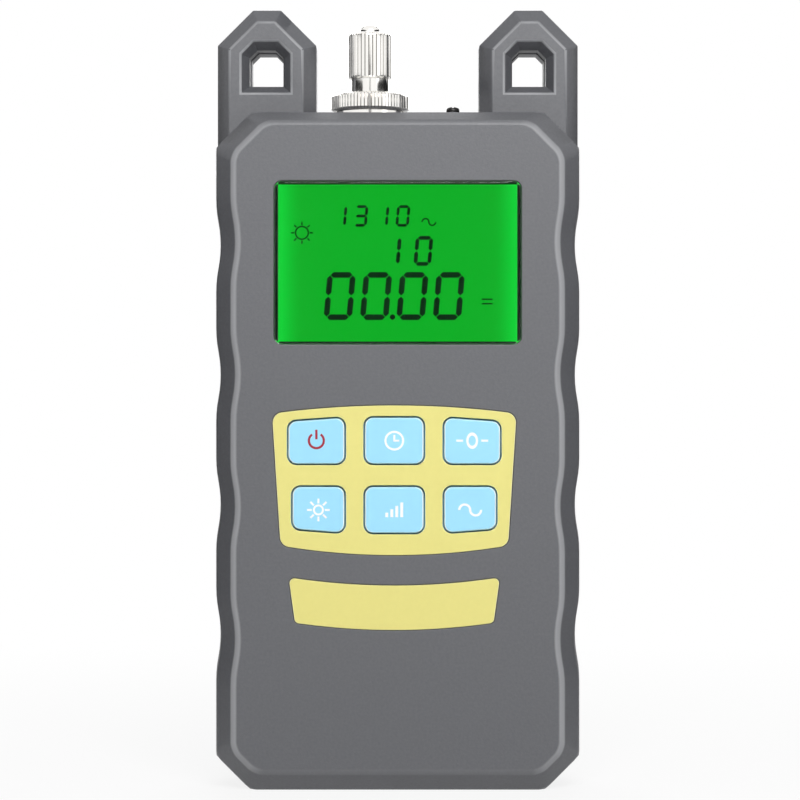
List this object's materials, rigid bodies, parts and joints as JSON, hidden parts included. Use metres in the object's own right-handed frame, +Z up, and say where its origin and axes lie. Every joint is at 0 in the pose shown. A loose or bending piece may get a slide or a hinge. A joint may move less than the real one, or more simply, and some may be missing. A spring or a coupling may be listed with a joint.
{
  "type": "optical power meter",
  "caption": "Handheld optical power meter with a screw-type fibre port under a knurled cap, lit display, blue keys, strap ears and a battery door.",
  "frame": {"origin": "middle of the bottom end of the case", "axes": "+Z up along the case to the strap ears, -Y out of the display, +X to the right as the display is read"},
  "size_m": [0.082, 0.033, 0.175],
  "materials": {
    "case_plastic": "fine spark grain moulding",
    "window_clear": "clear acrylic",
    "frame_black": "black moulding",
    "display_glass": "green lit liquid crystal glass",
    "backlight_green": "green light panel",
    "plate_yellow": "printed polyester plate",
    "key_blue": "moulded keys",
    "switch_black": "black switch moulding",
    "board_green": "solder mask",
    "chip_black": "black epoxy",
    "screw_steel": "zinc plated",
    "cell_sleeve": "printed cell jacket",
    "contact_nickel": "nickel plated strip",
    "port_nickel": "turned brass, bright nickel plate",
    "sleeve_ceramic": "ground zirconia"
  },
  "bodies": {
    "case": {"backlight": "backlight_green", "battery_cell_left": "cell_sleeve", "battery_cell_middle": "cell_sleeve", "battery_cell_right": "cell_sleeve", "case_screws": "screw_steel", "circuit_board": "board_green", "contact_plates": "contact_nickel", "detector_board": "board_green", "detector_port": "port_nickel", "display_window": "window_clear", "fc_adapter": "port_nickel", "ferrule_sleeve": "sleeve_ceramic", "front_shell": "case_plastic", "key_switches": "switch_black", "keypad_plate": "plate_yellow", "label_plate": "plate_yellow", "lcd_frame": "frame_black", "lcd_glass": "display_glass", "leaf_springs": "contact_nickel", "microcontroller": "chip_black", "photodiode": "contact_nickel", "port_nut": "port_nickel", "rear_shell": "case_plastic", "tether_screw": "screw_steel", "tether_washer": "screw_steel"},
    "battery_door": {"battery_door": "case_plastic"},
    "coupling_ring": {"coupling_ring": "port_nickel"},
    "cap_rivet": {"cap_rivet": "port_nickel"},
    "dust_cap": {"dust_cap": "port_nickel"},
    "key_power": {"key_power": "key_blue", "switch_button_power": "switch_black"},
    "key_auto_off": {"key_auto_off": "key_blue", "switch_button_auto_off": "switch_black"},
    "key_zero": {"key_zero": "key_blue", "switch_button_zero": "switch_black"},
    "key_light": {"key_light": "key_blue", "switch_button_light": "switch_black"},
    "key_db": {"key_db": "key_blue", "switch_button_db": "switch_black"},
    "key_wavelength": {"key_wavelength": "key_blue", "switch_button_wavelength": "switch_black"}
  },
  "joints": [
    {"name": "press_power", "type": "slide", "parent": "case", "child": "key_power", "axis": [0, 1, 0], "range_m": [0, 0.0004], "stiffness_N_per_m": 2500},
    {"name": "press_auto_off", "type": "slide", "parent": "case", "child": "key_auto_off", "axis": [0, 1, 0], "range_m": [0, 0.0004], "stiffness_N_per_m": 2500},
    {"name": "press_zero", "type": "slide", "parent": "case", "child": "key_zero", "axis": [0, 1, 0], "range_m": [0, 0.0004], "stiffness_N_per_m": 2500},
    {"name": "press_light", "type": "slide", "parent": "case", "child": "key_light", "axis": [0, 1, 0], "range_m": [0, 0.0004], "stiffness_N_per_m": 2500},
    {"name": "press_db", "type": "slide", "parent": "case", "child": "key_db", "axis": [0, 1, 0], "range_m": [0, 0.0004], "stiffness_N_per_m": 2500},
    {"name": "press_wavelength", "type": "slide", "parent": "case", "child": "key_wavelength", "axis": [0, 1, 0], "range_m": [0, 0.0004], "stiffness_N_per_m": 2500},
    {"name": "door_swing", "type": "hinge", "parent": "case", "child": "battery_door", "pos_m": [0, 0.0165, 0.00825], "axis": [-1, 0, 0], "range_deg": [0, 75]},
    {"name": "ring_turn", "type": "hinge", "parent": "case", "child": "coupling_ring", "pos_m": [-0.00625, -0.0015, 0.1535], "axis": [0, 0, 1], "continuous": true},
    {"name": "cap_lift", "type": "slide", "parent": "case", "child": "cap_rivet", "axis": [0, 0, 1], "range_m": [0, 0.03]},
    {"name": "cap_turn", "type": "hinge", "parent": "cap_rivet", "child": "dust_cap", "pos_m": [-0.00625, -0.0015, 0.1645], "axis": [0, 0, 1], "continuous": true}
  ]
}
